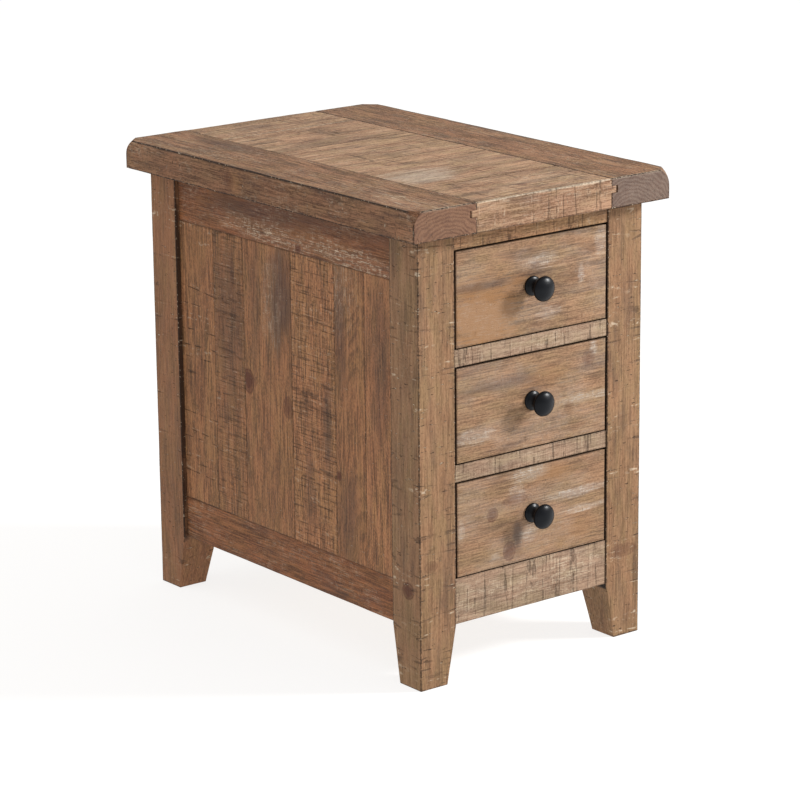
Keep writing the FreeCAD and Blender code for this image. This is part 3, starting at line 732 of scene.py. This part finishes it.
for drawer, marks in drawer_marks.items():
    node = drawer + "_front"
    box = visible_box(node)
    # The four edge faces of each front get painted shade of the gap round the drawer
    skin = pine(node + "_pine", "X", box, pale=DRAWER_PALE, brown=DRAWER_BROWN, ring=7.0,
                figure=0.15, clouds=0.6, fibre=0.65, wash=0.22, nicks=0.3, hazy=True,
                wear=0.3, **marks,
                painted_gap_shades=[(axis, corner[axis], DRAWER_PAINTED_SHADE) for axis in (0, 2) for corner in box])
    timber(node, drawer, skin, round_by=1.1)
    for part, (grain, seed, heart) in box_boards.items():
        node = f"{drawer}_{part}"
        skin = pine(node + "_pine", grain, visible_box(node), seed=seed, pale=BOX_PALE,
                    brown=BOX_BROWN, heart=heart, clouds=0.2, fibre=0.15, wear=0.1)
        timber(node, drawer, skin, uneven=0.0, step=60.0, round_by=0.5)
    node = drawer + "_panel"
    refinish(node, pine(node + "_ply", "X", visible_box(node), seed=58.0, pale=PLY_PALE,
                        brown=PLY_BROWN, heart=(0.0, 0.0), ring=16.0, figure=0.3,
                        clouds=0.2, fibre=0.15, wear=0.1))

# ---- Knobs ----
# Round cast knobs with a flat flange and a mushroom head, finished satin black. Each is
# held by one screw from inside the drawer.

# Half of the knob's outline in mm: its radius, and how far it stands off the drawer
knob_outline = [
    (12.3, 0.0), (12.5, 0.3), (12.5, 1.9), (12.1, 2.6), (11.2, 3.2), (9.3, 4.1), (7.4, 5.8),
    (6.4, 8.4), (6.3, 11.0), (7.1, 14.4), (9.5, 17.6), (12.6, 19.4), (14.8, 20.1),
    (15.8, 21.2), (16.0, 22.6), (15.4, 24.5), (13.0, 26.2), (9.8, 27.7), (6.0, 28.8),
    (2.4, 29.4), (0.0, 29.5)]

black, start = new_finish("satin_black_metal")
speckle = start.add("TexNoise", {"Vector": start, "Scale": 900.0, "Detail": 2.0})
smear = start.add("TexNoise", {"Vector": start, "Scale": 60.0, "Detail": 2.0})
ink = smear.ramp(0.3, 0.7).blend(tint(4, 7, 12), tint(10, 13, 19))
shine = 0.31 + (smear - 0.5) * 0.12
pits = speckle.add("Bump", {"Height": speckle, "Distance": 0.00008, "Strength": 0.4})
coat(black, start, {"Base Color": ink, "Roughness": shine, "Normal": pits,
                    "Specular IOR Level": 0.17})

for drawer in drawer_marks:
    node = drawer + "_knob"
    low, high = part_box(node)
    centre_z = (low[2] + high[2]) / 2.0
    base_y = high[1]
    shape = bmesh.new()
    verts = [shape.verts.new((radius / 1000.0, base_y - reach / 1000.0, centre_z))
             for radius, reach in knob_outline]
    edges = [shape.edges.new(pair) for pair in zip(verts, verts[1:])]
    bmesh.ops.spin(shape, geom=verts + edges, cent=(0.0, base_y, centre_z),
                   axis=(0.0, 1.0, 0.0), angle=2.0 * math.pi, steps=48, use_merge=True)
    bmesh.ops.remove_doubles(shape, verts=shape.verts, dist=0.00001)
    rim = [edge for edge in shape.edges if edge.is_boundary]
    bmesh.ops.contextual_create(shape, geom=rim)
    bmesh.ops.recalc_face_normals(shape, faces=shape.faces)
    piece = placed(shape, node + "_turned", black)
    piece.data.shade_smooth()
    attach(piece, drawer)
    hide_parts(node)

# ---- Top ----
# Two long pine boards run down the sides. Five shorter ones lie across between them,
# their tongues in a groove. The corners are rounded by hand and the edges are worn.

TOP_PALE = tint(164, 123, 91)
TOP_BROWN = tint(88, 62, 43)
END_GREYS = (tint(112, 96, 86), tint(88, 70, 62))
DUB = (26.0, 21.0)
FRONT_EDGE = visible_box("top_side_board_right")[0][1]
RIGHT_EDGE, _, TOP_Z = visible_box("top_side_board_right")[1]

for side, sign, seed, ends in (("left", -1.0, 60.0, END_BROWNS),
                               ("right", 1.0, 61.0, END_GREYS)):
    node = "top_side_board_" + side
    face = RIGHT_EDGE * sign
    skin = pine(node + "_pine", "Y", visible_box(node), seed=seed, pale=TOP_PALE,
                brown=TOP_BROWN, heart=(face * 0.72, 540.0), lean=(0.02, 0.02), ring=5.0,
                figure=0.2, clouds=0.7, fibre=1.1, nicks=0.8, wash=0.4, wear=1.15, dub=DUB,
                ends=ends, knots=[((face, 72.0, 588.0), (8.0, 9.0, 12.0), 0.5)],
                stains=[((-126.0, 183.0, TOP_Z), (22.0, 60.0, 20.0), 0.5, SOOT),
                        ((face, 0.0, 585.0), (3.0, 340.0, 40.0), 0.4, RUST),
                        ((face, 60.0, 590.0), (8.0, 18.0, 14.0), 0.5, WARM),
                        ((face, -10.0, TOP_Z), (2.4, 420.0, 2.4), 0.85, UMBER),
                        ((face, FRONT_EDGE, TOP_Z), (150.0, 2.4, 2.4), 0.8, CHALK)],
                lights=[((-170.0, -235.0, TOP_Z), (26.0, 50.0, 12.0), 0.8)])
    timber(node, "case", skin, step=10.0, uneven=0.4, round_by=1.5)

CROSS_PALE = tint(194, 157, 125)
CROSS_BROWN = tint(112, 82, 58)
cross_marks = {
    1: dict(knots=[((0.0, -260.0, TOP_Z), (7.0, 6.0, 8.0), 0.7)],
            stains=[((0.0, FRONT_EDGE, 590.0), (150.0, 3.0, 40.0), 0.4, RUST),
                    ((0.0, FRONT_EDGE, TOP_Z), (190.0, 2.4, 2.4), 0.8, CHALK)],
            lights=[((30.0, -250.0, TOP_Z), (70.0, 40.0, 20.0), 0.35)]),
    2: dict(stains=[((-60.0, -140.0, TOP_Z), (55.0, 36.0, 20.0), 0.35, HAZE)],
            lights=[((-70.0, -135.0, TOP_Z), (50.0, 45.0, 20.0), 0.8)]),
    3: dict(stains=[((40.0, -40.0, TOP_Z), (60.0, 30.0, 20.0), 0.25, SOOT)]),
    4: dict(stains=[((-20.0, 110.0, TOP_Z), (80.0, 30.0, 20.0), 0.3, SOOT)]),
    5: dict(stains=[((0.0, 217.0, TOP_Z), (170.0, 2.2, 8.0), 0.85, CHALK)],
            lights=[((-40.0, 255.0, TOP_Z), (60.0, 26.0, 20.0), 0.4)]),
}
for count, marks in cross_marks.items():
    node = f"top_cross_board_{count}"
    box = visible_box(node)
    skin = pine(node + "_pine", "X", box, seed=64.0 + count, pale=CROSS_PALE,
                brown=CROSS_BROWN, heart=((box[0][1] + box[1][1]) / 2.0, 520.0), ring=5.0,
                figure=0.2, clouds=0.8, fibre=1.0, saw=0.5, saw_gap=24.0, nicks=0.4,
                wash=0.3, wear=0.6, **marks)
    timber(node, "case", skin, step=10.0, uneven=0.35, round_by=1.0)

# ---- Hidden fittings ----
# Runners, stop blocks and cleats of bare sawn softwood carry the drawers and the top.
# The screws that hold the top and the knobs are zinc plated steel.

BARE_PALE = tint(206, 172, 128)
BARE_BROWN = tint(160, 122, 82)
for node, seed in (("drawer_runners", 70.0), ("drawer_stop_blocks", 71.0), ("top_cleats", 72.0)):
    refinish(node, pine(node + "_bare", "Y", visible_box(node), seed=seed, pale=BARE_PALE,
                        brown=BARE_BROWN, heart=(0.0, 300.0), clouds=0.2, fibre=0.2,
                        wear=0.1))

zinc, start = new_finish("zinc_plate")
frost = start.add("TexNoise", {"Vector": start, "Scale": 700.0, "Detail": 3.0})
tone = frost.ramp(0.3, 0.7).blend(tint(150, 152, 156), tint(188, 190, 192))
coat(zinc, start, {"Base Color": tone, "Roughness": 0.3 + frost * 0.2, "Metallic": 1.0})
refinish("top_screws", zinc)
for drawer in drawer_marks:
    refinish(drawer + "_knob_screw", zinc)
